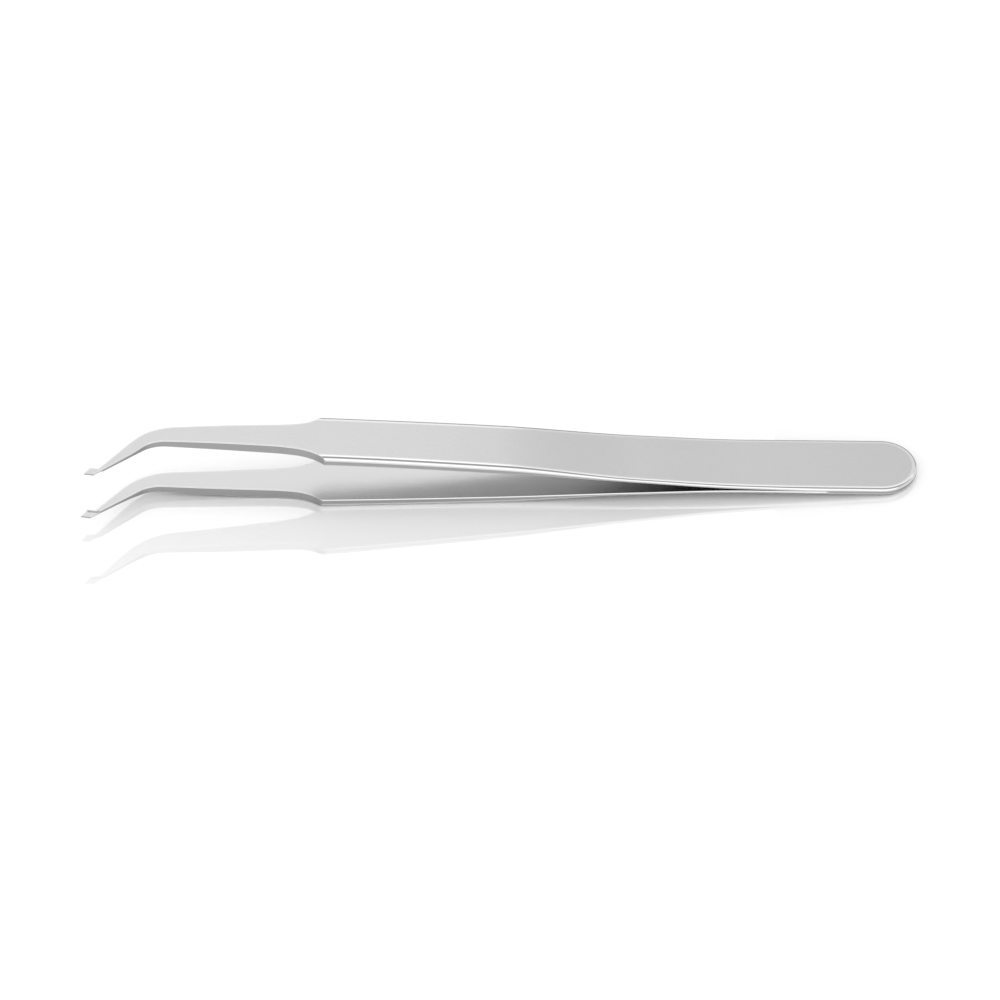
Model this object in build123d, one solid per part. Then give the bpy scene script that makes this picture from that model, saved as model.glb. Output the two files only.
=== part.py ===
from build123d import *
from math import asin, atan2, cos, degrees, hypot, radians, sin, tan
import os

# Curved precision tweezers: two spring leaves welded together at the tail, lying on
# the broad face of the lower leaf. Millimetres. While a leaf is built, x runs from the
# tail end (x = 0) towards the tips (x negative), z = 0 is the plane on which the leaves
# close, and the tips bend towards -y. At the end the pair is laid down on z = 0.

# Lengths along the tweezers
LENGTH = 120.0               # tail end to the foremost corner of the tips
WELD_LENGTH = 12.7           # welded tail, up to where the seam begins
SEAM_LENGTH = 12.3           # from the weld to where the leaves are plainly apart
SPRING_LENGTH = 15.0         # thin, springy stretch ahead of that
SWELL_LENGTH = 20.0          # over which a leaf swells to the thickness of the grip
TIP_SECTION_LENGTH = 34.7    # from the end of the grip to the foremost corner

# Shoulder, a hollow curve cut from both sides at the end of the grip
SHOULDER_LENGTH = 6.4        # from its start to where the curve has run out
HOLLOW_AT = 2.0              # place of the curve's middle point, from its start
SHOULDER_ENTRY = 45.0        # degrees at which the cut meets the side of the grip
SHOULDER_EXIT = 7.0          # degrees at which it runs into the tip section

# Widths
TAIL_WIDTH = 10.3
SEAM_END_WIDTH = 9.95        # where the leaves are plainly apart
GRIP_WIDTH = 9.1             # at the start of the grip
SHOULDER_WIDTH = 8.75
HOLLOW_WIDTH = 6.2           # at the middle point of the shoulder's curve
TIP_ROOT_WIDTH = 4.5         # at the end of the shoulder's curve
BEND_WIDTH = 2.6
NECK_WIDTH = 0.56            # narrowest place, just before the paddle

# Thicknesses of one leaf
TAIL_THICKNESS = 0.6
SPRING_THICKNESS = 0.57
GRIP_THICKNESS = 1.26
SHOULDER_THICKNESS = 1.4
TIP_ROOT_THICKNESS = 1.52
BEND_THICKNESS = 1.05
ARM_THICKNESS = 0.64         # a little way down the bent arm
TIP_THICKNESS = 0.42
PADDLE_THICKNESS = 0.22
ARM_THINNING = 2.8           # length past the bend over which the leaf thins down

# Half of the gap between the leaves, from the closing plane to the inner face
SEAM_HALF_GAP = 0.12
SPRING_HALF_GAP = 0.92
GRIP_HALF_GAP = 2.26
SHOULDER_HALF_GAP = 3.42
TIP_HALF_GAP = 3.93

# Bent arm, seen from above
BEND_ANGLE = 42.5            # degrees off the long axis
BEND_OUTER_RADIUS = 10.0
BEND_INNER_RADIUS = 5.4
ARM_LENGTH = 9.9             # from the bend's corner to the neck

# Paddle at the end of each tip: a slanted plate with a lip along its back edge
PADDLE_BACK = 1.25           # length of the back edge
PADDLE_SIDE = 1.5            # length of the outer side
PADDLE_FRONT = 1.45          # length of the front edge
PADDLE_SLOPE = 8.0           # degrees of the front and back edges off the long axis
PADDLE_SLANT = 53.0          # degrees of the outer side off the long axis
LIP_WIDTH = 0.15

# Edge rounding
TAIL_ROUNDING = 0.39         # outer edges at the weld and round the tail
SPRING_ROUNDING = 0.3
GRIP_ROUNDING = 0.55
INNER_ROUNDING = 0.18
OUTER_SHARE = 0.66           # an outer rounding takes at most this share of the thickness
INNER_SHARE = 0.3            # and an inner one at most this share

# Blank from which a leaf is cut
SPRING_SPANS = 10            # lofted spans from the weld to the start of the grip
GRIP_SPANS = 3               # lofted spans of each half of the grip
TIP_SPANS = 16               # spans of the side profile from the shoulder to the tips
CUT_MARGIN = 2.0             # how far a cutting shape reaches past what it cuts

TOUCH_SAMPLES = 400          # places tried for the one that touches the table

# Places that follow from the sizes above, measured from the tail end
seam_end_at = WELD_LENGTH + SEAM_LENGTH
spring_end_at = seam_end_at + SPRING_LENGTH
grip_at = spring_end_at + SWELL_LENGTH
shoulder_at = LENGTH - TIP_SECTION_LENGTH
square_at = shoulder_at + HOLLOW_AT      # from here on the edges are cut square
tip_root_at = shoulder_at + SHOULDER_LENGTH
arm_reach = ARM_LENGTH * cos(radians(BEND_ANGLE)) + NECK_WIDTH / 2 * sin(radians(BEND_ANGLE))
paddle_reach = (
    PADDLE_BACK * cos(radians(PADDLE_SLOPE)) + PADDLE_SIDE * cos(radians(PADDLE_SLANT))
)
bend_at = LENGTH - arm_reach - paddle_reach
blank_end_at = LENGTH + CUT_MARGIN
side_reach = TAIL_WIDTH / 2 + ARM_LENGTH


def curve_value(knots, distance):
    """Value at a distance of a smooth curve through the knots, flat past both ends."""
    if distance <= knots[0][0]:
        return knots[0][1]
    if distance >= knots[-1][0]:
        return knots[-1][1]
    slopes = [0.0]
    for before, here, after in zip(knots, knots[1:], knots[2:]):
        rise_in = (here[1] - before[1]) / (here[0] - before[0])
        rise_out = (after[1] - here[1]) / (after[0] - here[0])
        same_way = rise_in * rise_out > 0
        slopes.append(2 * rise_in * rise_out / (rise_in + rise_out) if same_way else 0.0)
    slopes.append(0.0)
    index = max(i for i, knot in enumerate(knots[:-1]) if knot[0] <= distance)
    start, end = knots[index], knots[index + 1]
    span = end[0] - start[0]
    t = (distance - start[0]) / span
    return (
        start[1] * (1 + 2 * t) * (1 - t) ** 2
        + slopes[index] * span * t * (1 - t) ** 2
        + end[1] * t * t * (3 - 2 * t)
        + slopes[index + 1] * span * t * t * (t - 1)
    )


def half_gap(distance):
    """Height of the inner face above the closing plane."""
    knots = [
        (WELD_LENGTH, 0.0),
        (seam_end_at, SEAM_HALF_GAP),
        (spring_end_at, SPRING_HALF_GAP),
        (grip_at, GRIP_HALF_GAP),
        (shoulder_at, SHOULDER_HALF_GAP),
        (bend_at, TIP_HALF_GAP),
    ]
    return curve_value(knots, distance)


def thickness(distance):
    """Thickness of the leaf: thin spring, thick grip, tapered tips."""
    knots = [
        (WELD_LENGTH, TAIL_THICKNESS),
        (seam_end_at, SPRING_THICKNESS),
        (spring_end_at, SPRING_THICKNESS),
        (grip_at, GRIP_THICKNESS),
        (shoulder_at, SHOULDER_THICKNESS),
        (tip_root_at, TIP_ROOT_THICKNESS),
        (bend_at, BEND_THICKNESS),
        (bend_at + ARM_THINNING, ARM_THICKNESS),
        (LENGTH, TIP_THICKNESS),
    ]
    return curve_value(knots, distance)


def width(distance):
    """Width of the leaf between the weld and the shoulder."""
    knots = [
        (WELD_LENGTH, TAIL_WIDTH),
        (seam_end_at, SEAM_END_WIDTH),
        (grip_at, GRIP_WIDTH),
        (shoulder_at, SHOULDER_WIDTH),
    ]
    return curve_value(knots, distance)


def outer_rounding(distance):
    """Radius on the outer edges, fuller at the finger grip than at the thin spring."""
    knots = [
        (WELD_LENGTH, TAIL_ROUNDING),
        (seam_end_at, SPRING_ROUNDING),
        (spring_end_at, SPRING_ROUNDING),
        (grip_at, GRIP_ROUNDING),
        (tip_root_at, GRIP_ROUNDING),
        (bend_at, INNER_ROUNDING),
    ]
    return min(curve_value(knots, distance), OUTER_SHARE * thickness(distance))


def inner_rounding(distance):
    """Radius on the inner edges, which are only broken."""
    return min(INNER_ROUNDING, INNER_SHARE * thickness(distance))


def tail():
    """Welded end of one leaf: a round-ended plate with its outer rim rounded over."""
    radius = TAIL_WIDTH / 2
    with BuildPart() as plate:
        with BuildSketch():
            with BuildLine():
                Line((-WELD_LENGTH, -radius), (-radius, -radius))
                ThreePointArc((-radius, -radius), (0, 0), (-radius, radius))
                Line((-radius, radius), (-WELD_LENGTH, radius))
                Line((-WELD_LENGTH, radius), (-WELD_LENGTH, -radius))
            make_face()
        extrude(amount=TAIL_THICKNESS)
        top_edges = plate.faces().sort_by(Axis.Z)[-1].edges()
        rim = top_edges.sort_by(Axis.X)[1:]
        fillet(rim, outer_rounding(0))
    return plate.part


def blank_section(distance):
    """Cross-section of the blank: outer corners well rounded, inner corners broken."""
    far = width(distance) / 2
    near = -far
    low = half_gap(distance)
    high = low + thickness(distance)
    outer = outer_rounding(distance)
    inner = inner_rounding(distance)
    across_leaf = Plane(origin=(-distance, 0, 0), x_dir=(0, 1, 0), z_dir=(1, 0, 0))
    with BuildSketch(across_leaf) as section:
        with BuildLine():
            Line((near + inner, low), (far - inner, low))
            RadiusArc((far - inner, low), (far, low + inner), -inner)
            Line((far, low + inner), (far, high - outer))
            RadiusArc((far, high - outer), (far - outer, high), -outer)
            Line((far - outer, high), (near + outer, high))
            RadiusArc((near + outer, high), (near, high - outer), -outer)
            Line((near, high - outer), (near, low + inner))
            RadiusArc((near, low + inner), (near + inner, low), -inner)
        make_face()
    return section.sketch


def spaced(start, end, spans):
    """Evenly spaced places from start to end."""
    return [start + (end - start) * index / spans for index in range(spans + 1)]


def rounded_blank(start, end, spans):
    """Part of the blank with rounded edges, lofted through its cross-sections."""
    return loft([blank_section(place) for place in spaced(start, end, spans)])


def square_blank():
    """Front part of the blank: the leaf's side profile, wide enough for the bent arm."""
    places = spaced(square_at, blank_end_at, TIP_SPANS)
    low = [(-place, half_gap(place)) for place in places]
    high = [(-place, half_gap(place) + thickness(place)) for place in places]
    with BuildSketch(Plane.XZ) as profile:
        with BuildLine():
            Spline(*low)
            Line(low[-1], high[-1])
            Spline(*reversed(high))
            Line(high[0], low[0])
        make_face()
    return extrude(profile.sketch, side_reach, both=True)


def blank():
    """Blank of one leaf, with a seam across the grip where it touches the table."""
    spring = rounded_blank(WELD_LENGTH, grip_at, SPRING_SPANS)
    seams = [grip_at, square_at]
    touch_at = resting_touch()[1]
    if grip_at < touch_at < square_at:
        seams.insert(1, touch_at)
    grip = [rounded_blank(start, end, GRIP_SPANS) for start, end in zip(seams, seams[1:])]
    return spring + grip + square_blank()


def along_arm(distance, aside):
    """Point on the bent arm: distance past the bend's corner, aside to its far edge."""
    turn = radians(BEND_ANGLE)
    return Vector(
        -bend_at - distance * cos(turn) - aside * sin(turn),
        -distance * sin(turn) + aside * cos(turn),
    )


def slanted(length, angle):
    """Step of a given length towards the tip end, at an angle up from the long axis."""
    return Vector(-length * cos(radians(angle)), length * sin(radians(angle)))


def leaf_outline():
    """Outline that is cut from the blank: shoulder, tip section, bent arm and paddle."""
    clear_of_tail = TAIL_WIDTH / 2 + CUT_MARGIN
    mitre = BEND_WIDTH / 2 * tan(radians(BEND_ANGLE / 2))
    entry = Vector(-1, -tan(radians(SHOULDER_ENTRY)))
    leave = Vector(-1, -tan(radians(SHOULDER_EXIT)))
    shoulder = Vector(-shoulder_at, SHOULDER_WIDTH / 2)
    outside = shoulder - entry * CUT_MARGIN
    hollow = Vector(-shoulder_at - HOLLOW_AT, HOLLOW_WIDTH / 2)
    root = Vector(-tip_root_at, TIP_ROOT_WIDTH / 2)
    neck_far = along_arm(ARM_LENGTH, NECK_WIDTH / 2)
    neck_near = along_arm(ARM_LENGTH, -NECK_WIDTH / 2)
    back = neck_far + slanted(PADDLE_BACK, PADDLE_SLOPE)
    front_far = back + slanted(PADDLE_SIDE, -PADDLE_SLANT)
    front_near = front_far - slanted(PADDLE_FRONT, PADDLE_SLOPE)

    def across(point):
        return Vector(point.X, -point.Y)

    with BuildSketch() as outline:
        with BuildLine():
            Spline(outside, shoulder, hollow, root, tangents=[entry, leave])
            Spline(
                across(outside),
                across(shoulder),
                across(hollow),
                across(root),
                tangents=[across(entry), across(leave)],
            )
            Polyline(outside, (0, clear_of_tail), (0, -clear_of_tail), across(outside))
            FilletPolyline(
                root, (-bend_at - mitre, BEND_WIDTH / 2), neck_far, radius=BEND_OUTER_RADIUS
            )
            FilletPolyline(
                across(root),
                (-bend_at + mitre, -BEND_WIDTH / 2),
                neck_near,
                radius=BEND_INNER_RADIUS,
            )
            Polyline(neck_far, back, front_far, front_near, neck_near)
        make_face()
    return outline.sketch


def paddle_recess():
    """Tool that mills the paddle's inner side down, in front of the lip."""
    along = slanted(1, PADDLE_SLOPE)
    aside = Vector(along.Y, -along.X)
    lip_front = along_arm(ARM_LENGTH, NECK_WIDTH / 2) - aside * LIP_WIDTH
    left = lip_front + along * (PADDLE_BACK + CUT_MARGIN)
    right = lip_front - along * CUT_MARGIN
    depth = aside * -(PADDLE_SIDE + CUT_MARGIN)
    with BuildSketch() as area:
        with BuildLine():
            Polyline(left, right, right + depth, left + depth, close=True)
        make_face()
    floor = TIP_HALF_GAP + TIP_THICKNESS - PADDLE_THICKNESS
    return extrude(area.sketch, floor)


def leaf():
    """One leaf, with its inner face towards the closing plane."""
    above_leaf = TIP_HALF_GAP + TIP_ROOT_THICKNESS + CUT_MARGIN
    cut_leaf = blank() & extrude(leaf_outline(), above_leaf)
    return tail() + (cut_leaf - paddle_recess())


def resting_touch():
    """Tilt of the pair when it lies on tail and grip, and where the grip touches."""
    heel = outer_rounding(0)
    touches = []
    for place in spaced(spring_end_at, LENGTH, TOUCH_SAMPLES):
        run = place - heel
        drop = half_gap(place) + thickness(place) - (TAIL_THICKNESS - heel)
        tangent = atan2(drop, run) - asin(heel / hypot(run, drop))
        touches.append((degrees(tangent), place))
    return max(touches)


def lay_down(pieces):
    """Tilt the pieces on to tail and grip, and put the origin under their middle."""
    tilt = resting_touch()[0]
    tilted = [Rotation(0, tilt, 0) * piece for piece in pieces]
    box = Compound(tilted).bounding_box()
    offset = Location((-box.center().X, -box.center().Y, -box.min.Z))
    return [offset * piece for piece in tilted]


upper = leaf()
lower = mirror(upper, about=Plane.XY)
upper_leaf, lower_leaf = lay_down([upper, lower])

os.makedirs("parts", exist_ok=True)
for name, piece in (("upper_leaf", upper_leaf), ("lower_leaf", lower_leaf)):
    export_step(piece, f"parts/{name}.step")
    box = piece.bounding_box()
    print(name, round(piece.volume, 3), box.min, box.max)
print("tilt and touch", resting_touch())
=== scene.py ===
# Curved precision tweezers lying on a pale glossy table.

import math

import bmesh
import bpy
from mathutils import Matrix, Vector


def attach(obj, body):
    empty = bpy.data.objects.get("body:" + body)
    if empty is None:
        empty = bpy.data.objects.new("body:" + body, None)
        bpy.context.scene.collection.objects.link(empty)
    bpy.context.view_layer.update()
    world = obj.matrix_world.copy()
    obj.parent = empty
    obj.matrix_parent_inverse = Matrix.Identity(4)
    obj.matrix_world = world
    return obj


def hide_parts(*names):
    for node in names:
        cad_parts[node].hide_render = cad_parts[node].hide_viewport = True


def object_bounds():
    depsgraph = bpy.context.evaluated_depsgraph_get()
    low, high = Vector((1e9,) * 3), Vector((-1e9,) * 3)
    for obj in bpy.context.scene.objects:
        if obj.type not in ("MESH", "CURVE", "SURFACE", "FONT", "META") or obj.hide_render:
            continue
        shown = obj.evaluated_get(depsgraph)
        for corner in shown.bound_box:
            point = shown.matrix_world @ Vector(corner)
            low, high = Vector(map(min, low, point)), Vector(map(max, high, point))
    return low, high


bl_info = {
    "name": "Curved precision tweezers",
    "version": (1, 0, 0),
    "blender": (4, 5, 0),
    "location": "View3D > Sidebar > Tweezers",
    "description": "Builds a pair of bent-tip steel tweezers and the table they lie on",
    "category": "Add Mesh",
}

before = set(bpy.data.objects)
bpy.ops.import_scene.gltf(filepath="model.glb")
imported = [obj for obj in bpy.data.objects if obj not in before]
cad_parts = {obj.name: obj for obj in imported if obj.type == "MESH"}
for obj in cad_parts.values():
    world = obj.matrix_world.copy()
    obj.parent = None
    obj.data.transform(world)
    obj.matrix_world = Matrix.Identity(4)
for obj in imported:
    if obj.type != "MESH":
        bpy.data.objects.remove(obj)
CAD_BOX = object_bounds()

MM = 0.001
BODY = "root"

# Lengths along the tweezers in millimetres, measured from the tail end. While a leaf is
# built, x is minus that distance, z = 0 is the plane on which the leaves close, and the
# tips bend towards -y.
LENGTH = 120.0
WELD_LENGTH = 12.7
SEAM_END_AT = 25.0
SPRING_END_AT = 40.0
GRIP_AT = 60.0
SHOULDER_AT = 85.3
HOLLOW_AT = 87.3
TIP_ROOT_AT = 91.7

# Widths
TAIL_WIDTH = 10.3
SEAM_END_WIDTH = 9.95
GRIP_WIDTH = 9.1
SHOULDER_WIDTH = 8.75
HOLLOW_WIDTH = 6.2
TIP_ROOT_WIDTH = 4.5
BEND_WIDTH = 2.6
NECK_WIDTH = 0.56

# Slopes of the shoulder's curve, as change of half width per millimetre
ENTRY_SLOPE = -0.86
HOLLOW_SLOPE = -0.43
EXIT_SLOPE = -0.123

# Thicknesses of one leaf
TAIL_THICKNESS = 0.6
SPRING_THICKNESS = 0.57
GRIP_THICKNESS = 1.26
SHOULDER_THICKNESS = 1.4
TIP_ROOT_THICKNESS = 1.52
BEND_THICKNESS = 1.05
ARM_THICKNESS = 0.64
TIP_THICKNESS = 0.42
PADDLE_THICKNESS = 0.22
ARM_THINNING = 2.8

# Half of the gap between the leaves
SEAM_HALF_GAP = 0.12
SPRING_HALF_GAP = 0.92
GRIP_HALF_GAP = 2.26
SHOULDER_HALF_GAP = 3.42
TIP_HALF_GAP = 3.93

# Bent arm and paddle, seen from above
BEND_ANGLE = 42.5
BEND_OUTER_RADIUS = 10.0
BEND_INNER_RADIUS = 5.4
ARM_LENGTH = 9.9
PADDLE_BACK = 1.25
PADDLE_SIDE = 1.5
PADDLE_FRONT = 1.45
PADDLE_SLOPE = 8.0
PADDLE_SLANT = 53.0
LIP_WIDTH = 0.15

# Edge rounding
TAIL_ROUNDING = 0.39
SPRING_ROUNDING = 0.3
GRIP_ROUNDING = 0.55
INNER_ROUNDING = 0.18
OUTER_SHARE = 0.66
INNER_SHARE = 0.3
ROLL_WIDTH = 0.35        # the outer face bends down a little before the rounding
ROLL_ANGLE = 8.0         # degrees that it has bent down by there

# Mesh density across a leaf
ARC_STEPS = 8            # across each rounded edge
ROLL_STEPS = 4           # across the roll-off beside it
EDGE_STEPS = ARC_STEPS + ROLL_STEPS
FLAT_STEPS = 6           # across each broad face
LIP_STEPS = FLAT_STEPS // 2
STEP_GAP = 0.008         # half the width of the step at the paddle's lip
STEP_MARGIN = 3 * STEP_GAP  # least distance from that step to the edges of the face
BREAK_SHARE = 0.3        # largest edge break, as a share of half the width
PARALLEL = 1e-9          # difference below which a rib counts as parallel to the lip

# Mesh density along a leaf
TAIL_STEPS = 48          # round the tail end
WELD_STEPS = 6           # from there to the end of the weld
SEAM_START = 1.0         # length ahead of the weld that has the closest ribs
SEAM_STEPS = 8           # along that length
LEAF_STEPS = 96          # from there to the shoulder
SHOULDER_STEPS = 24      # from the shoulder to the hollow
HOLLOW_STEPS = 14        # from the hollow to the root of the tip section
ARM_STEPS = (18, 24, 20)  # before, round and past the corner of the bend
PADDLE_STEPS = 8         # along each of the paddle's two far edges
TOUCH_SAMPLES = 400      # places tried for the touch on the table

# Finishing
GROUND_START = 0.3       # the sides are ground from this far past the shoulder
SHARP_ANGLE = 38         # degrees, above which an edge is shaded crisp
NORMAL_WEIGHT = 70       # how much large faces steer the smooth shading

arm_reach = (
    ARM_LENGTH * math.cos(math.radians(BEND_ANGLE))
    + NECK_WIDTH / 2 * math.sin(math.radians(BEND_ANGLE))
)
paddle_reach = PADDLE_BACK * math.cos(math.radians(PADDLE_SLOPE)) + PADDLE_SIDE * math.cos(
    math.radians(PADDLE_SLANT)
)
BEND_AT = LENGTH - arm_reach - paddle_reach


def curve_value(knots, distance):
    """Value at a distance of a smooth curve through the knots, flat past both ends."""
    if distance <= knots[0][0]:
        return knots[0][1]
    if distance >= knots[-1][0]:
        return knots[-1][1]
    slopes = [0.0]
    for before, here, after in zip(knots, knots[1:], knots[2:]):
        rise_in = (here[1] - before[1]) / (here[0] - before[0])
        rise_out = (after[1] - here[1]) / (after[0] - here[0])
        same_way = rise_in * rise_out > 0
        slopes.append(2 * rise_in * rise_out / (rise_in + rise_out) if same_way else 0.0)
    slopes.append(0.0)
    index = max(i for i, knot in enumerate(knots[:-1]) if knot[0] <= distance)
    start, end = knots[index], knots[index + 1]
    return between(start[0], end[0], start[1], end[1], slopes[index], slopes[index + 1], distance)


def between(first, last, value_in, value_out, slope_in, slope_out, place):
    """Cubic curve with given values and slopes at both ends."""
    span = last - first
    t = (place - first) / span
    return (
        value_in * (1 + 2 * t) * (1 - t) ** 2
        + slope_in * span * t * (1 - t) ** 2
        + value_out * t * t * (3 - 2 * t)
        + slope_out * span * t * t * (t - 1)
    )


def half_gap(distance):
    """Height of the inner face above the closing plane."""
    knots = [
        (WELD_LENGTH, 0.0),
        (SEAM_END_AT, SEAM_HALF_GAP),
        (SPRING_END_AT, SPRING_HALF_GAP),
        (GRIP_AT, GRIP_HALF_GAP),
        (SHOULDER_AT, SHOULDER_HALF_GAP),
        (BEND_AT, TIP_HALF_GAP),
    ]
    return curve_value(knots, distance)


def thickness(distance):
    """Thickness of one leaf."""
    knots = [
        (WELD_LENGTH, TAIL_THICKNESS),
        (SEAM_END_AT, SPRING_THICKNESS),
        (SPRING_END_AT, SPRING_THICKNESS),
        (GRIP_AT, GRIP_THICKNESS),
        (SHOULDER_AT, SHOULDER_THICKNESS),
        (TIP_ROOT_AT, TIP_ROOT_THICKNESS),
        (BEND_AT, BEND_THICKNESS),
        (BEND_AT + ARM_THINNING, ARM_THICKNESS),
        (LENGTH, TIP_THICKNESS),
    ]
    return curve_value(knots, distance)


def blank_half_width(distance):
    """Half width that the rounded edges follow, before the tip section is cut."""
    knots = [
        (WELD_LENGTH, TAIL_WIDTH / 2),
        (SEAM_END_AT, SEAM_END_WIDTH / 2),
        (GRIP_AT, GRIP_WIDTH / 2),
        (SHOULDER_AT, SHOULDER_WIDTH / 2),
    ]
    return curve_value(knots, distance)


def outer_rounding(distance):
    """Radius on the outer edges."""
    knots = [
        (WELD_LENGTH, TAIL_ROUNDING),
        (SEAM_END_AT, SPRING_ROUNDING),
        (SPRING_END_AT, SPRING_ROUNDING),
        (GRIP_AT, GRIP_ROUNDING),
        (TIP_ROOT_AT, GRIP_ROUNDING),
    ]
    return min(curve_value(knots, distance), OUTER_SHARE * thickness(distance))


def inner_rounding(distance, seam_run):
    """Radius on the inner edges, which starts where the weld ends."""
    radius = min(INNER_ROUNDING, INNER_SHARE * thickness(distance))
    return curve_value([(WELD_LENGTH, 0.0), (WELD_LENGTH + seam_run, radius)], distance)


def edge_drop(radius, roll, inset):
    """Drop at an inset from the side, of an edge that rolls off and then turns down."""
    lean = math.radians(ROLL_ANGLE) if roll else 0.0
    turn_at = radius * (1 - math.sin(lean))
    if inset >= turn_at + roll:
        return 0.0
    if inset >= turn_at:
        return math.tan(lean) * (turn_at + roll - inset) ** 2 / (2 * roll)
    below_centre = math.sqrt(max(radius**2 - (radius - inset) ** 2, 0.0))
    return math.tan(lean) * roll / 2 + radius * math.cos(lean) - below_centre


def along_arm(distance, aside):
    """Point on the bent arm: distance past the bend's corner, aside to its far edge."""
    turn = math.radians(BEND_ANGLE)
    return Vector((
        -BEND_AT - distance * math.cos(turn) - aside * math.sin(turn),
        -distance * math.sin(turn) + aside * math.cos(turn),
    ))


def slanted(length, angle):
    """Step of a given length towards the tip end, at an angle up from the long axis."""
    return Vector((-length * math.cos(math.radians(angle)), length * math.sin(math.radians(angle))))


def spread(first, last, count):
    """Evenly spaced values from the first to the last."""
    return [first + (last - first) * i / count for i in range(count + 1)]


def filleted(start, corner, end, radius, steps):
    """Points along two straight runs with a round corner between them.

    Steps are their counts before, round and past the corner.
    """
    before, bend, after = steps
    run_in = (corner - start).normalized()
    run_out = (end - corner).normalized()
    turn = run_in.angle_signed(run_out)
    reach = radius * math.tan(abs(turn) / 2)
    first = corner - run_in * reach
    last = corner + run_out * reach
    side = Vector((run_in.y, -run_in.x)) * (1 if turn > 0 else -1)
    centre = first + side * radius
    points = [start.lerp(first, t) for t in spread(0, 1, before)]
    for share in spread(0, 1, bend)[1:]:
        spoke = first - centre
        spoke.rotate(Matrix.Rotation(-turn * share, 2))
        points.append(centre + spoke)
    points += [last.lerp(end, t) for t in spread(0, 1, after)[1:]]
    return points


def plan_ribs():
    """Near and far ends of the ribs, seen from above, from the tail to the paddle."""
    ribs = []
    stations = spread(TAIL_WIDTH / 2, WELD_LENGTH, WELD_STEPS)
    stations += spread(WELD_LENGTH, WELD_LENGTH + SEAM_START, SEAM_STEPS)[1:]
    stations += spread(WELD_LENGTH + SEAM_START, SHOULDER_AT, LEAF_STEPS)[1:]
    for distance in stations:
        half = blank_half_width(distance)
        ribs.append((Vector((-distance, -half)), Vector((-distance, half)), half))
    shoulder = spread(SHOULDER_AT, HOLLOW_AT, SHOULDER_STEPS)[1:]
    shoulder += spread(HOLLOW_AT, TIP_ROOT_AT, HOLLOW_STEPS)[1:]
    for distance in shoulder:
        if distance <= HOLLOW_AT:
            half = between(
                SHOULDER_AT, HOLLOW_AT, SHOULDER_WIDTH / 2, HOLLOW_WIDTH / 2,
                ENTRY_SLOPE, HOLLOW_SLOPE, distance,
            )
        else:
            half = between(
                HOLLOW_AT, TIP_ROOT_AT, HOLLOW_WIDTH / 2, TIP_ROOT_WIDTH / 2,
                HOLLOW_SLOPE, EXIT_SLOPE, distance,
            )
        ribs.append((Vector((-distance, -half)), Vector((-distance, half)), SHOULDER_WIDTH / 2))

    mitre = BEND_WIDTH / 2 * math.tan(math.radians(BEND_ANGLE / 2))
    neck_far = along_arm(ARM_LENGTH, NECK_WIDTH / 2)
    neck_near = along_arm(ARM_LENGTH, -NECK_WIDTH / 2)
    far_edge = filleted(
        Vector((-TIP_ROOT_AT, TIP_ROOT_WIDTH / 2)),
        Vector((-BEND_AT - mitre, BEND_WIDTH / 2)),
        neck_far, BEND_OUTER_RADIUS, ARM_STEPS,
    )
    near_edge = filleted(
        Vector((-TIP_ROOT_AT, -TIP_ROOT_WIDTH / 2)),
        Vector((-BEND_AT + mitre, -BEND_WIDTH / 2)),
        neck_near, BEND_INNER_RADIUS, ARM_STEPS,
    )
    for near, far in list(zip(near_edge, far_edge))[1:]:
        ribs.append((near, far, None))

    back = neck_far + slanted(PADDLE_BACK, PADDLE_SLOPE)
    front_far = back + slanted(PADDLE_SIDE, -PADDLE_SLANT)
    front_near = front_far - slanted(PADDLE_FRONT, PADDLE_SLOPE)
    corner_share = PADDLE_BACK / (PADDLE_BACK + PADDLE_SIDE)
    for share in spread(0, corner_share, PADDLE_STEPS)[1:]:
        far = neck_far.lerp(back, share / corner_share)
        ribs.append((neck_near.lerp(front_near, share), far, None))
    for share in spread(corner_share, 1, PADDLE_STEPS)[1:]:
        far = back.lerp(front_far, (share - corner_share) / (1 - corner_share))
        ribs.append((neck_near.lerp(front_near, share), far, None))
    return ribs


def lip_distance(point):
    """Distance of a point in front of the paddle's back edge line."""
    along = slanted(1, PADDLE_SLOPE)
    aside = Vector((-along.y, along.x))
    return (point - along_arm(ARM_LENGTH, NECK_WIDTH / 2)).dot(aside)


def recess(point):
    """How far the paddle's inner side is set down at a point."""
    return TIP_THICKNESS - PADDLE_THICKNESS if lip_distance(point) > LIP_WIDTH else 0.0


def lip_crossing(middle, across, half):
    """Place along a rib at which the lip's front line crosses it."""
    at_near = lip_distance(middle - across * half)
    at_far = lip_distance(middle + across * half)
    if abs(at_far - at_near) < PARALLEL:
        return half
    share = (LIP_WIDTH - at_near) / (at_far - at_near)
    return -half + 2 * half * min(max(share, 0.0), 1.0)


def edge_insets(half, blank_half, radius, roll, edge_break):
    """Insets of the points across one edge, from the side wall to the broad face."""
    turn = edge_break
    beyond = edge_break
    if blank_half is not None:
        cut_away = blank_half - half
        turn = max(edge_break, radius - cut_away)
        beyond = max(edge_break, radius + roll - cut_away - turn)
    arc = [turn * (1 - math.cos(math.pi / 2 * i / ARC_STEPS)) for i in range(ARC_STEPS + 1)]
    return arc + [turn + beyond * i / ROLL_STEPS for i in range(1, ROLL_STEPS + 1)]


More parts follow.
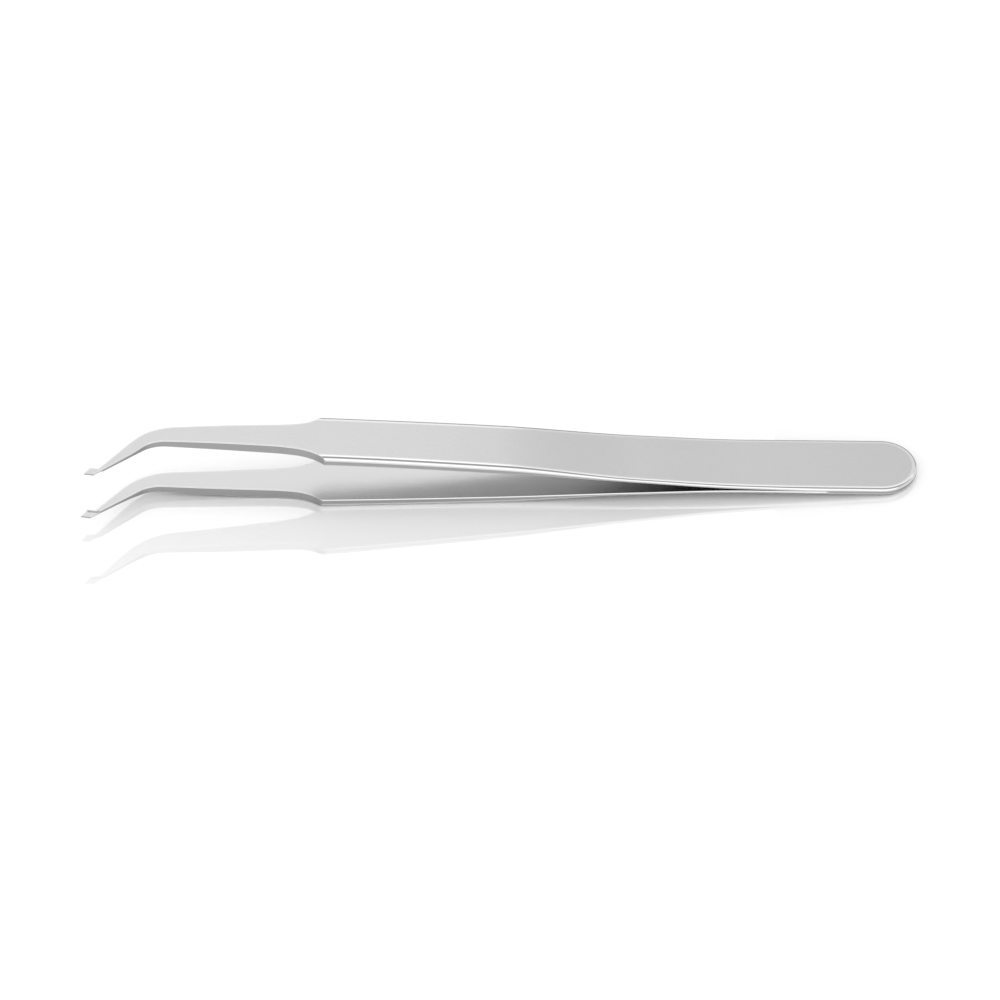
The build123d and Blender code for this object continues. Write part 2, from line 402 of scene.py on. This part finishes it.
def rib_section(near, far, blank_half, sizes):
    """Outer and inner points of one rib, each from the near side to the far side."""
    middle = (near + far) / 2
    across = (far - near).normalized()
    half = (far - near).length / 2
    distance = -middle.x
    seam_run = sizes.seam_run / MM
    edge_break = min(sizes.edge_break / MM, half * BREAK_SHARE)
    inner_break = curve_value([(WELD_LENGTH, 0.0), (WELD_LENGTH + seam_run, edge_break)], distance)

    def surface(radius, roll, small, base, way):
        insets = edge_insets(half, blank_half, radius, roll, edge_break)
        flat = half - insets[-1]
        laterals = [-half + inset for inset in insets]
        inside = [-flat + 2 * flat * i / FLAT_STEPS for i in range(1, FLAT_STEPS)]
        if way < 0 and blank_half is None:
            step = lip_crossing(middle, across, half)
            step = min(max(step, -flat + STEP_MARGIN), flat - STEP_MARGIN)
            inside = [
                -flat + (step - STEP_GAP + flat) * i / LIP_STEPS for i in range(1, LIP_STEPS + 1)
            ]
            inside += [
                step + STEP_GAP + (flat - step - STEP_GAP) * i / LIP_STEPS
                for i in range(LIP_STEPS - 1)
            ]
        laterals += inside
        laterals += [half - inset for inset in reversed(insets)]
        points = []
        for place in laterals:
            spot = middle + across * place
            inset = half - abs(place)
            drop = edge_drop(small, 0.0, inset)
            if blank_half is not None:
                drop = max(drop, edge_drop(radius, roll, blank_half - abs(place)))
            if way > 0:
                height = base(-spot.x) - drop
            else:
                height = base(-spot.x) + drop + (recess(spot) if blank_half is None else 0.0)
            points.append(Vector((spot.x, spot.y, height)))
        return points

    outer = surface(
        outer_rounding(distance), ROLL_WIDTH, edge_break,
        lambda d: half_gap(d) + thickness(d), 1,
    )
    inner = surface(inner_rounding(distance, seam_run), 0.0, inner_break, half_gap, -1)
    return outer, inner


def leaf_surface(sizes):
    """Closed mesh of one leaf in millimetres, with a finish number for every face."""
    count = 2 * (EDGE_STEPS + 1) + FLAT_STEPS - 1
    middle_index = count // 2
    verts, faces, finishes = [], [], []
    rings = []
    plan = plan_ribs()
    for near, far, blank_half in plan:
        outer, inner = rib_section(near, far, blank_half, sizes)
        ring = list(range(len(verts), len(verts) + 2 * count))
        verts.extend(outer + inner[::-1])
        rings.append(ring)

    def finish_of(index, distance):
        lateral = index % count
        if lateral == count - 1:
            return GROUND if distance > SHOULDER_AT + GROUND_START else SIDE
        if lateral < EDGE_STEPS or lateral >= count - 1 - EDGE_STEPS:
            return POLISHED
        return FACE if index < count else INNER_FACE

    for number, (ring, following) in enumerate(zip(rings, rings[1:])):
        distance = -(plan[number][0].x + plan[number][1].x) / 2
        for index in range(2 * count):
            after = (index + 1) % (2 * count)
            faces.append((ring[index], ring[after], following[after], following[index]))
            finishes.append(finish_of(index, distance))
    faces.append(tuple(reversed(rings[-1])))
    finishes.append(GROUND)

    radius = TAIL_WIDTH / 2
    first = rings[0]
    top_middle = first[middle_index]
    low_middle = first[count + middle_index]
    near_half = first[: middle_index + 1]
    low_near = first[: count - 1 : -1][: middle_index + 1]
    top_rays = [near_half]
    low_rays = [low_near]
    sweeps = ((top_rays, near_half, top_middle), (low_rays, low_near, low_middle))
    for turn in spread(-90, 90, TAIL_STEPS)[1:-1]:
        angle = math.radians(turn)
        for rays, source, centre in sweeps:
            ray = []
            for index in source[:-1]:
                point = verts[index]
                reach = abs(point.y)
                ray.append(len(verts))
                verts.append(Vector((
                    -radius + reach * math.cos(angle), reach * math.sin(angle), point.z
                )))
            rays.append(ray + [centre])
    far_half = first[count - 1 :: -1][: count - middle_index]
    low_far = first[count : count + count - middle_index]
    top_rays.append(far_half)
    low_rays.append(low_far)
    for rays, flip in ((top_rays, False), (low_rays, True)):
        for ray, following in zip(rays, rays[1:]):
            for index in range(len(ray) - 1):
                if index == len(ray) - 2:
                    face = (ray[index], following[index], ray[index + 1])
                else:
                    face = (ray[index], following[index], following[index + 1], ray[index + 1])
                faces.append(tuple(reversed(face)) if flip else face)
                on_edge = index < EDGE_STEPS
                finishes.append(POLISHED if on_edge else (INNER_FACE if flip else FACE))
    for number in range(len(top_rays) - 1):
        faces.append((
            top_rays[number][0], low_rays[number][0],
            low_rays[number + 1][0], top_rays[number + 1][0],
        ))
        finishes.append(SIDE)
    return verts, faces, finishes


def resting_tilt():
    """Angle between the closing plane and the table, lying on tail and grip."""
    heel = outer_rounding(0)
    steepest = 0.0
    for place in spread(SPRING_END_AT, LENGTH, TOUCH_SAMPLES):
        run = place - heel
        drop = half_gap(place) + thickness(place) - (TAIL_THICKNESS - heel)
        tangent = math.atan2(drop, run) - math.asin(heel / math.hypot(run, drop))
        steepest = max(steepest, tangent)
    return steepest


def add_node(tree, kind, inputs=None, **settings):
    """Adds one node with its settings, and fills or links its inputs."""
    node = tree.nodes.new(kind)
    for name, value in settings.items():
        setattr(node, name, value)
    for name, value in (inputs or {}).items():
        if isinstance(value, bpy.types.NodeSocket):
            tree.links.new(value, node.inputs[name])
        else:
            node.inputs[name].default_value = value
    return node


def linear(colour):
    """Linear RGBA of an sRGB hex colour such as "c8c8c8"."""
    channels = []
    for start in (0, 2, 4):
        value = int(colour[start : start + 2], 16) / 255
        channels.append(value / 12.92 if value <= 0.04045 else ((value + 0.055) / 1.055) ** 2.4)
    return (*channels, 1.0)


# Finishes of the steel, in the order of the material slots
# SIDE and GROUND take the darker side colour, which is painted shade
FACE, INNER_FACE, POLISHED, SIDE, GROUND = range(5)
CLOUD_LENGTH = 14        # millimetres, of the faint patches in the steel
CLOUD_WIDTH = 5
NOISE_LOW = 0.3          # the grain noise hardly leaves this range
NOISE_HIGH = 0.7
ROUGHNESS_SWING = 0.1    # share by which the grain changes the roughness


def steel(name, colour, roughness, grain_width, grain_length, depth, patch=0.0):
    """Stainless steel with fine lines along the leaf.

    The grain's width, length and depth are in millimetres. Patch is the share by which
    the faint patches are darker.
    """
    material = bpy.data.materials.new(name)
    material.use_nodes = True
    tree = material.node_tree
    tree.nodes.clear()
    place = add_node(tree, "ShaderNodeTexCoord")
    stretched = add_node(tree, "ShaderNodeMapping", {
        "Vector": place.outputs["Object"],
        "Scale": (1 / (grain_length * MM), 1 / (grain_width * MM), 1 / (grain_width * MM)),
    })
    lines = add_node(tree, "ShaderNodeTexNoise", {
        "Vector": stretched.outputs["Vector"], "Scale": 1.0, "Detail": 3.0, "Roughness": 0.6,
    })
    cloud_map = add_node(tree, "ShaderNodeMapping", {
        "Vector": place.outputs["Object"],
        "Scale": (1 / (CLOUD_LENGTH * MM), 1 / (CLOUD_WIDTH * MM), 1 / (CLOUD_WIDTH * MM)),
    })
    clouds = add_node(tree, "ShaderNodeTexNoise", {
        "Vector": cloud_map.outputs["Vector"], "Scale": 1.0, "Detail": 2.0,
    })
    rough = add_node(tree, "ShaderNodeMapRange", {
        "Value": lines.outputs["Fac"], "From Min": NOISE_LOW, "From Max": NOISE_HIGH,
        "To Min": roughness * (1 - ROUGHNESS_SWING),
        "To Max": roughness * (1 + ROUGHNESS_SWING),
    })
    tone = add_node(tree, "ShaderNodeMix", {
        "Factor": clouds.outputs["Fac"],
        "A": tuple(c * (1 - patch) for c in linear(colour)[:3]) + (1.0,),
        "B": linear(colour),
    }, data_type="RGBA")
    bump = add_node(tree, "ShaderNodeBump", {
        "Height": lines.outputs["Fac"], "Strength": 1.0, "Distance": depth * MM,
    })
    shader = add_node(tree, "ShaderNodeBsdfPrincipled", {
        "Base Color": tone.outputs["Result"],
        "Metallic": 1.0,
        "Roughness": rough.outputs["Result"],
        "Normal": bump.outputs["Normal"],
    })
    add_node(tree, "ShaderNodeOutputMaterial", {"Surface": shader.outputs["BSDF"]})
    return material


def finishes_for(finish):
    """The five finishes of the leaves, made once and shared."""
    names = ("Satin stainless steel", "Satin stainless steel inside", "Polished steel edge, painted highlight",
             "Brushed steel side, painted shade", "Ground steel side, painted shade")
    if all(name in bpy.data.materials for name in names):
        return [bpy.data.materials[name] for name in names]
    return [
        # Broad faces: an even, soft grey with hardly any direction
        steel(names[0], finish.satin_colour, roughness=0.30,
              grain_width=0.10, grain_length=4.0, depth=0.0006, patch=0.03),
        steel(names[1], finish.satin_colour, roughness=0.24,
              grain_width=0.10, grain_length=4.0, depth=0.0006, patch=0.03),
        # Rounded edges: sharp, bright streaks of the studio along the leaf
        # Their colour, lighter than the faces, is painted highlight; the low roughness is real
        steel(names[2], finish.edge_colour_painted_highlight, roughness=0.12,
              grain_width=0.12, grain_length=6.0, depth=0.0003),
        # Flat of the edge: fine lines lengthwise; its darker colour is painted shade
        steel(names[3], finish.side_colour_painted_shade, roughness=0.22,
              grain_width=0.08, grain_length=5.0, depth=0.0010, patch=0.05),
        # Sides of the tip section, ground square: rougher, with deeper lines and patches
        # Their darker colour, shared with the flat of the edge, is painted shade
        steel(names[4], finish.side_colour_painted_shade, roughness=0.26,
              grain_width=0.09, grain_length=5.0, depth=0.0020, patch=0.12),
    ]


def mark_sharp(mesh, degrees):
    """Shades the mesh smooth, with crisp edges where it turns by more than an angle."""
    work = bmesh.new()
    work.from_mesh(mesh)
    bmesh.ops.recalc_face_normals(work, faces=work.faces)
    for face in work.faces:
        face.smooth = True
    limit = math.radians(degrees)
    for edge in work.edges:
        edge.smooth = edge.is_manifold and edge.calc_face_angle(math.pi) < limit
    work.to_mesh(mesh)
    work.free()


def make_leaf(name, node, side):
    """Makes one leaf. Side is 1 for the upper leaf and -1 for its mirror image below."""
    scene = bpy.context.scene
    verts, faces, finishes = leaf_surface(scene.tweezer_leaf)
    turn = Matrix.Rotation(resting_tilt(), 3, "Y")
    offset = table_offset(verts, turn)
    placed = [turn @ Vector((v.x, v.y, v.z * side)) * MM + offset for v in verts]
    if side < 0:
        faces = [tuple(reversed(face)) for face in faces]
    mesh = bpy.data.meshes.new(name)
    mesh.from_pydata(placed, [], faces)
    mesh.polygons.foreach_set("material_index", finishes)
    for material in finishes_for(scene.tweezer_finish):
        mesh.materials.append(material)
    mark_sharp(mesh, SHARP_ANGLE)
    leaf = bpy.data.objects.new(name, mesh)
    scene.collection.objects.link(leaf)
    weigh = leaf.modifiers.new("Flat faces stay flat", "WEIGHTED_NORMAL")
    weigh.keep_sharp = True
    weigh.weight = NORMAL_WEIGHT
    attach(leaf, BODY)
    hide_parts(node)
    return leaf


def table_offset(verts, turn):
    """Step from the tail end of the closing plane to its place on the table."""
    pair = [turn @ Vector((v.x, v.y, v.z * side)) * MM for v in verts for side in (1, -1)]
    low = Vector([min(v[axis] for v in pair) for axis in range(3)])
    high = Vector([max(v[axis] for v in pair) for axis in range(3)])
    cad_low, cad_high = CAD_BOX
    middle = (cad_low + cad_high) / 2 - (low + high) / 2
    return Vector((middle.x, middle.y, cad_low.z - low.z))


class TweezerLeaf(bpy.types.PropertyGroup):
    edge_break: bpy.props.FloatProperty(
        name="Edge break", description="Small rounding on the square-cut edges",
        default=0.1 * MM, unit="LENGTH",
    )
    seam_run: bpy.props.FloatProperty(
        name="Seam run", description="Length over which the seam opens ahead of the weld",
        default=0.7 * MM, unit="LENGTH",
    )


class TweezerFinish(bpy.types.PropertyGroup):
    satin_colour: bpy.props.StringProperty(
        name="Satin colour", description="Hex colour of the broad faces", default="c6c6c6",
    )
    # Lighter than the faces: painted highlight on the rounded edges
    edge_colour_painted_highlight: bpy.props.StringProperty(
        name="Edge colour, painted highlight", description="Hex colour of the rounded edges", default="d6d6d6",
    )
    # Darker than the faces: painted shade, for the shaded table that the sides mirror
    side_colour_painted_shade: bpy.props.StringProperty(
        name="Side colour, painted shade", description="Hex colour of the square sides", default="a2a2a2",
    )


class TweezerStage(bpy.types.PropertyGroup):
    floor_colour: bpy.props.StringProperty(
        name="Floor colour", description="Hex colour of the table", default="e8e8e8",
    )
    floor_gloss: bpy.props.FloatProperty(
        name="Floor gloss", description="Share of light that the table mirrors",
        default=0.22, min=0, max=1, subtype="FACTOR",
    )
    camera_height: bpy.props.FloatProperty(
        name="Camera height", description="Angle of the camera above the table",
        default=math.radians(44), subtype="ANGLE",
    )
    camera_turn: bpy.props.FloatProperty(
        name="Camera turn", description="Angle of the camera round the tweezers",
        default=math.radians(2.1), subtype="ANGLE",
    )


class UpperLeaf(bpy.types.Operator):
    """Build the upper leaf"""

    bl_idname = "tweezers.upper_leaf"
    bl_label = "Upper leaf"

    def execute(self, context):
        make_leaf("upper_leaf_steel", "upper_leaf", 1)
        return {"FINISHED"}


class LowerLeaf(bpy.types.Operator):
    """Build the lower leaf"""

    bl_idname = "tweezers.lower_leaf"
    bl_label = "Lower leaf"

    def execute(self, context):
        make_leaf("lower_leaf_steel", "lower_leaf", -1)
        return {"FINISHED"}


# Camera, from the photograph: pixels across one millimetre, and the pixel at which the
# middle of the footprint lies, in a picture of 1000 by 1000
PIXELS_PER_MM = 6.985
MIDDLE_X = 498.3
MIDDLE_Y = 487.9
PICTURE = 1000
CAMERA_DISTANCE = 1.5
CLIP_START = 0.01
CLIP_END = 50

# Table and cards
FLOOR_REACH = 6.0
FLOOR_HEIGHT = -0.00002  # just below the lowest point of the tweezers
CARD_STEPS = 8           # across each curved card


def make_camera(stage):
    """Camera at the photograph's angle, whose lens was too long to show perspective."""
    up, turn = stage.camera_height, stage.camera_turn
    right = Vector((math.cos(turn), -math.sin(turn), 0))
    look = Vector((
        math.sin(turn) * math.cos(up), math.cos(turn) * math.cos(up), -math.sin(up)
    ))
    rise = right.cross(look)
    target = (
        right * (PICTURE / 2 - MIDDLE_X) + rise * (MIDDLE_Y - PICTURE / 2)
    ) / PIXELS_PER_MM * MM
    camera = bpy.data.objects.new("Camera", bpy.data.cameras.new("Camera"))
    camera.data.type = "ORTHO"
    camera.data.ortho_scale = PICTURE / PIXELS_PER_MM * MM
    camera.data.clip_start = CLIP_START
    camera.data.clip_end = CLIP_END
    basis = Matrix((right, rise, -look)).transposed().to_4x4()
    camera.matrix_world = Matrix.Translation(target - look * CAMERA_DISTANCE) @ basis
    bpy.context.scene.collection.objects.link(camera)
    bpy.context.scene.camera = camera


def make_floor(stage):
    """Pale acrylic table: an even diffuse white under a clear, mirror-smooth surface."""
    material = bpy.data.materials.new("Glossy white acrylic")
    material.use_nodes = True
    tree = material.node_tree
    tree.nodes.clear()
    body = add_node(tree, "ShaderNodeBsdfDiffuse", {"Color": linear(stage.floor_colour)})
    gloss = stage.floor_gloss
    shine = add_node(tree, "ShaderNodeBsdfGlossy", {
        "Color": (gloss, gloss, gloss, 1.0), "Roughness": 0.0,
    })
    both = add_node(tree, "ShaderNodeAddShader")
    tree.links.new(body.outputs["BSDF"], both.inputs[0])
    tree.links.new(shine.outputs["BSDF"], both.inputs[1])
    add_node(tree, "ShaderNodeOutputMaterial", {"Surface": both.outputs["Shader"]})
    mesh = bpy.data.meshes.new("floor")
    corners = ((-1, -1), (1, -1), (1, 1), (-1, 1))
    mesh.from_pydata(
        [(x * FLOOR_REACH, y * FLOOR_REACH, FLOOR_HEIGHT) for x, y in corners],
        [], [(0, 1, 2, 3)],
    )
    mesh.materials.append(material)
    floor = bpy.data.objects.new("floor", mesh)
    bpy.context.scene.collection.objects.link(floor)


def make_world():
    """White room, which lights everything evenly and shows as plain white in gloss."""
    world = bpy.data.worlds.new("White room")
    world.use_nodes = True
    tree = world.node_tree
    tree.nodes.clear()
    room = add_node(tree, "ShaderNodeBackground", {"Color": (1, 1, 1, 1), "Strength": 1.0})
    add_node(tree, "ShaderNodeOutputWorld", {"Surface": room.outputs["Background"]})
    bpy.context.scene.world = world


def around(angle, distance):
    """Point over the table at an angle from the back horizon, over the top to the front."""
    turn = math.radians(angle)
    return Vector((0, math.cos(turn), math.sin(turn))) * distance


def make_softbox(name, angles, sides, distance, radiance):
    """Soft lamp that fills an arc over the table, and shows only in gloss."""
    middle = sum(angles) / 2
    width = 2 * distance * math.tan(math.radians(angles[1] - angles[0]) / 2)
    length = sides[1] - sides[0]
    lamp = bpy.data.objects.new(name, bpy.data.lights.new(name, "AREA"))
    lamp.data.shape = "RECTANGLE"
    lamp.data.size = length
    lamp.data.size_y = width
    lamp.data.energy = radiance * math.pi * length * width
    lamp.location = around(middle, distance) + Vector((sum(sides) / 2, 0, 0))
    lamp.rotation_euler = (math.radians(middle - 90), 0, 0)
    lamp.visible_diffuse = False
    lamp.visible_camera = False
    bpy.context.scene.collection.objects.link(lamp)


def make_card(name, angles, half_length, distance, grey):
    """Grey card curved over the table, which shows as a soft dark line in round edges."""
    material = bpy.data.materials.new(name)
    material.use_nodes = True
    tree = material.node_tree
    tree.nodes.clear()
    glow = add_node(tree, "ShaderNodeEmission", {"Color": (grey, grey, grey, 1), "Strength": 1.0})
    add_node(tree, "ShaderNodeOutputMaterial", {"Surface": glow.outputs["Emission"]})
    verts, faces = [], []
    for angle in spread(angles[0], angles[1], CARD_STEPS):
        point = around(angle, distance)
        verts += [(-half_length, point.y, point.z), (half_length, point.y, point.z)]
    for i in range(CARD_STEPS):
        faces.append((2 * i, 2 * i + 1, 2 * i + 3, 2 * i + 2))
    mesh = bpy.data.meshes.new(name)
    mesh.from_pydata(verts, [], faces)
    mesh.materials.append(material)
    card = bpy.data.objects.new(name, mesh)
    card.visible_diffuse = False
    card.visible_camera = False
    bpy.context.scene.collection.objects.link(card)


class Stage(bpy.types.Operator):
    """Build the table, the soft light and the camera"""

    bl_idname = "tweezers.stage"
    bl_label = "Table, light and camera"

    def execute(self, context):
        stage = context.scene.tweezer_stage
        make_camera(stage)
        make_floor(stage)
        make_world()
        make_softbox("Front softbox", angles=(116, 178), sides=(-3.0, 3.0), distance=3.0,
                     radiance=0.55)
        make_softbox("Back strip", angles=(50, 58), sides=(-3.0, 3.0), distance=3.0,
                     radiance=0.5)
        make_softbox("Left softbox", angles=(26, 66), sides=(-0.255, 0.045), distance=0.2,
                     radiance=0.3)
        make_card("Ceiling card", angles=(60, 114), half_length=4.0, distance=4.2, grey=0.5)
        make_card("Back horizon card", angles=(2, 30), half_length=4.0, distance=4.2, grey=0.4)
        context.scene.view_settings.view_transform = "Standard"
        return {"FINISHED"}


class TweezerPanel(bpy.types.Panel):
    bl_label = "Tweezers"
    bl_idname = "VIEW3D_PT_tweezers"
    bl_space_type = "VIEW_3D"
    bl_region_type = "UI"
    bl_category = "Tweezers"

    def draw(self, context):
        scene = context.scene
        for group in (scene.tweezer_leaf, scene.tweezer_finish, scene.tweezer_stage):
            for name in group.bl_rna.properties.keys():
                if name not in ("rna_type", "name"):
                    self.layout.prop(group, name)
        for operator in OPERATORS:
            self.layout.operator(operator.bl_idname)


GROUPS = {
    "tweezer_leaf": TweezerLeaf, "tweezer_finish": TweezerFinish, "tweezer_stage": TweezerStage,
}
OPERATORS = (UpperLeaf, LowerLeaf, Stage)


def register():
    for name, group in GROUPS.items():
        bpy.utils.register_class(group)
        setattr(bpy.types.Scene, name, bpy.props.PointerProperty(type=group))
    for operator in OPERATORS:
        bpy.utils.register_class(operator)
    bpy.utils.register_class(TweezerPanel)


def unregister():
    bpy.utils.unregister_class(TweezerPanel)
    for operator in reversed(OPERATORS):
        bpy.utils.unregister_class(operator)
    for name, group in reversed(GROUPS.items()):
        delattr(bpy.types.Scene, name)
        bpy.utils.unregister_class(group)


def main():
    register()
    bpy.ops.tweezers.upper_leaf()
    bpy.ops.tweezers.lower_leaf()
    bpy.ops.tweezers.stage()


if __name__ == "__main__":
    main()
